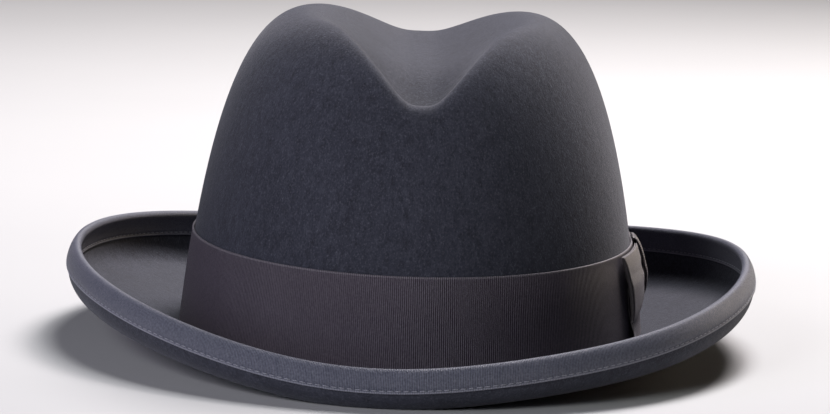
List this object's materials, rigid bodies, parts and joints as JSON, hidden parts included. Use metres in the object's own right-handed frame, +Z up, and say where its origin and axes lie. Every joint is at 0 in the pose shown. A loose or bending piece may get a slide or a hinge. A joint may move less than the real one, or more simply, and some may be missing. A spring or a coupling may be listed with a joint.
{
  "type": "felt hat",
  "caption": "Soft felt hat with a centre-dented crown, ribbon band with a flat side bow, and a curled, ribbon-bound brim.",
  "frame": {"origin": "on the surface that the brim rests on, under the centre of the brim's outline", "axes": "+Z up through the crown, -Y towards the front of the hat, +X towards the wearer's left, where the bow is"},
  "size_m": [0.2694, 0.309, 0.1281],
  "materials": {
    "fur_felt": "fur felt with a short brushed nap",
    "binding_ribbon": "grosgrain ribbon",
    "binding_thread": "spun thread",
    "band_ribbon": "grosgrain ribbon",
    "tack_thread": "spun thread",
    "bow_ribbon": "grosgrain ribbon",
    "sweatband_leather": "smooth dressed leather",
    "reed_plastic": "extruded",
    "reed_tape_cloth": "woven tape",
    "sweatband_thread": "spun thread",
    "sweatband_bow_ribbon": "satin ribbon",
    "lining_satin": "satin",
    "piping_satin": "satin over cord",
    "shield_film": "clear film",
    "ticket_paper": "paper, no print"
  },
  "bodies": {
    "root": {"felt_body": "fur_felt", "brim_binding": "binding_ribbon", "binding_needle_thread": "binding_thread", "binding_bobbin_thread": "binding_thread", "hat_band": "band_ribbon", "band_tacks": "tack_thread", "bow_tails": "bow_ribbon", "bow_loops": "bow_ribbon", "bow_knot": "bow_ribbon", "sweatband": "sweatband_leather", "sweatband_reed": "reed_plastic", "reed_tape": "reed_tape_cloth", "sweatband_thread": "sweatband_thread", "sweatband_bow": "sweatband_bow_ribbon", "liner_side": "lining_satin", "liner_tip": "lining_satin", "liner_piping": "piping_satin", "liner_shield": "shield_film", "size_ticket": "ticket_paper"}
  },
  "joints": []
}
